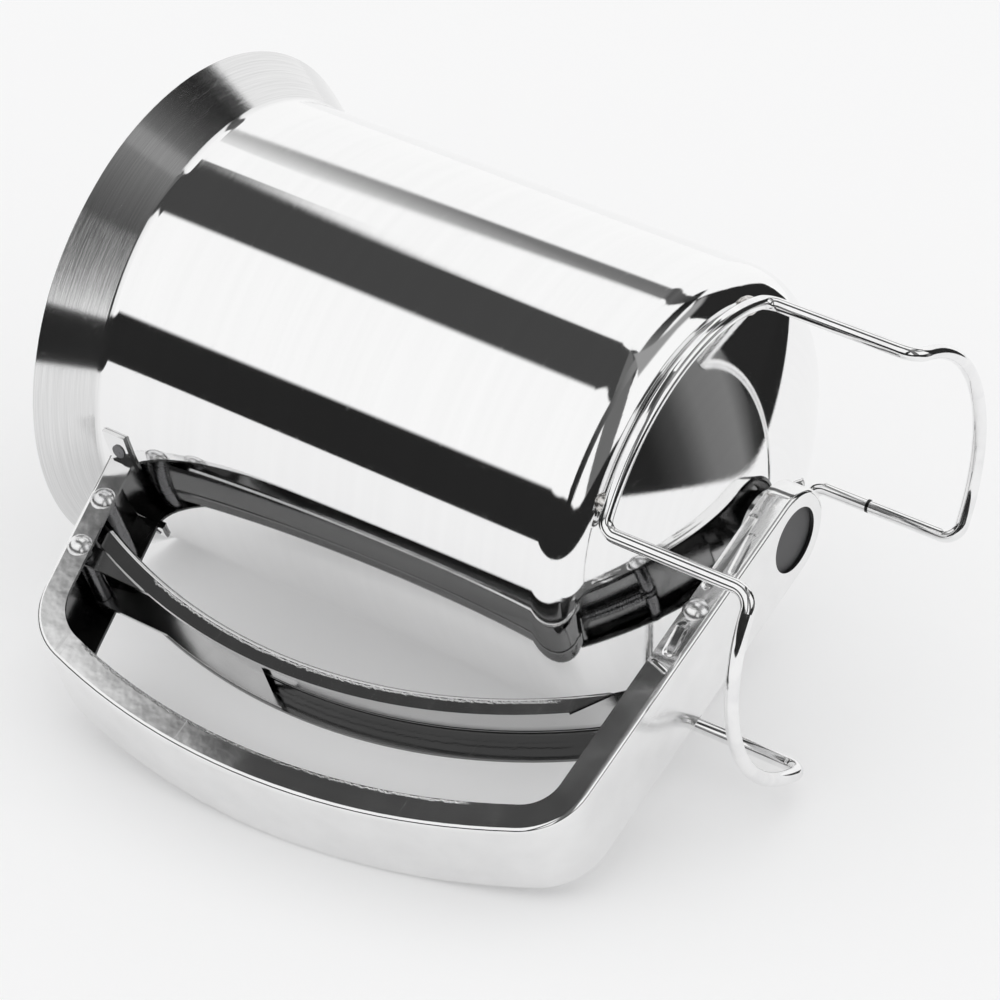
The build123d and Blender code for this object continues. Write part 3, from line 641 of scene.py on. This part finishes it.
# painted shade on the pins and tubes inside the channel
shade = blended(tree, channel_shade_mask, shade, (0.22, 0.22, 0.225, 1))
dents = bump(tree, noise(tree, coords, 620.0, 2.0), 0.000006)
surface(tree, shade, plus(tree, 0.22, marks["Smudge"], 0.1), dents)
for node in ("stop_rivet", "pivot_rivet", "arm_rivet", "stop_sleeve", "pivot_sleeve", "pivot_spacers", "slide_rollers"):
    dress(node, rivet_steel)


# ---------------------------------------------------------------- seal pad
# Disc of black food-grade rubber, which closes the spout.
# It is bonded into the slide, and its skin is matt with a faint grey bloom.
seal_rubber, tree = shader("seal_rubber")
coords = add_node(tree, "TexCoord").outputs["Object"]
bloom = noise(tree, coords, 220.0, 3.0)
shade = blended(tree, bloom, (0.055, 0.055, 0.057, 1), (0.10, 0.10, 0.102, 1))
skin = bump(tree, noise(tree, coords, 2600.0, 3.0), 0.00002, Strength=0.6)
surface(tree, shade, plus(tree, 0.5, bloom, 0.2), skin, metallic=0.0)
dress("seal_pad", seal_rubber)


# ---------------------------------------------------------------- return spring
# Close-wound pull spring of 0.6 mm wire, dark from its heat treatment. One hook goes round the arm's rivet between
# the two rollers, the other end goes with the slide's front lug. When the slide is drawn back, the coils and their
# wire are stretched alike, so the wire widens too, which a real spring's doesn't.
spring_wire = 0.0003
wire_sides = 8
coil_r = 0.0015
coil_gap = 0.00002
steps_per_coil = 16
hook_r = 0.0017
hook_steps = 28
neck_angle = radians(60)
coil_rise = 0.0005
neck_reach = 0.0020
rivet_low, rivet_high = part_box("arm_rivet")
rivet_x = (rivet_low.x + rivet_high.x) / 2
rivet_z = (rivet_low.z + rivet_high.z) / 2
spring_axis_z = rivet_z + coil_rise
coil_start = rivet_x + neck_reach
coil_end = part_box("return_spring")[1].x
coils = int((coil_end - coil_start) / (2 * spring_wire + coil_gap))
pitch = (coil_end - coil_start) / coils
steps = steps_per_coil * coils
spring_bm = bmesh.new()
bmesh.ops.create_circle(spring_bm, cap_ends=False, segments=wire_sides, radius=spring_wire)
stand_up = Matrix.Translation((coil_start, 0, spring_axis_z + coil_r)) @ Matrix.Rotation(radians(90), 4, "X")
bmesh.ops.transform(spring_bm, matrix=stand_up, verts=spring_bm.verts[:])
bmesh.ops.spin(
    spring_bm, geom=spring_bm.verts[:] + spring_bm.edges[:], cent=(coil_start, 0, spring_axis_z), axis=(1, 0, 0),
    dvec=(pitch * coils / steps, 0, 0), angle=2 * pi * coils, steps=steps, use_duplicate=False,
)
coil_verts = set(spring_bm.verts)
bmesh.ops.create_circle(spring_bm, cap_ends=False, segments=wire_sides, radius=spring_wire)
hook_verts = [v for v in spring_bm.verts if v not in coil_verts]
bmesh.ops.transform(spring_bm, matrix=Matrix.Translation((rivet_x + hook_r, 0, rivet_z)), verts=hook_verts)
hook_edges = [e for e in spring_bm.edges if e.verts[0] not in coil_verts]
bmesh.ops.spin(
    spring_bm, geom=hook_verts + hook_edges, cent=(rivet_x, 0, rivet_z), axis=(0, 1, 0),
    angle=2 * pi, steps=hook_steps, use_merge=True,
)
hook_top = Vector((rivet_x + hook_r * cos(neck_angle), 0, rivet_z + hook_r * sin(neck_angle)))
coil_top = Vector((coil_start, 0, spring_axis_z + coil_r))
neck = coil_top - hook_top
bmesh.ops.create_cone(
    spring_bm, cap_ends=True, segments=wire_sides, radius1=spring_wire, radius2=spring_wire,
    depth=neck.length + spring_wire,
    matrix=Matrix.Translation((coil_top + hook_top) / 2) @ neck.to_track_quat("Z", "Y").to_matrix().to_4x4(),
)
bmesh.ops.holes_fill(spring_bm, edges=[e for e in spring_bm.edges if e.is_boundary], sides=wire_sides)
bmesh.ops.recalc_face_normals(spring_bm, faces=spring_bm.faces[:])
spring_mesh = bpy.data.meshes.new("spring_coil")
spring_bm.to_mesh(spring_mesh)
spring_bm.free()
for polygon in spring_mesh.polygons:
    polygon.use_smooth = True
spring = bpy.data.objects.new("spring_coil", spring_mesh)
scene.collection.objects.link(spring)
spring_steel, tree = shader("spring_steel")
coords = add_node(tree, "TexCoord").outputs["Object"]
drawn = noise(tree, coords, 1800.0, 3.0)
shade = blended(tree, drawn, (0.20, 0.20, 0.205, 1), (0.34, 0.34, 0.345, 1))
surface(tree, shade, plus(tree, 0.15, drawn, 0.2))
spring_mesh.materials.append(spring_steel)
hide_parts("return_spring")
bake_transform(spring)
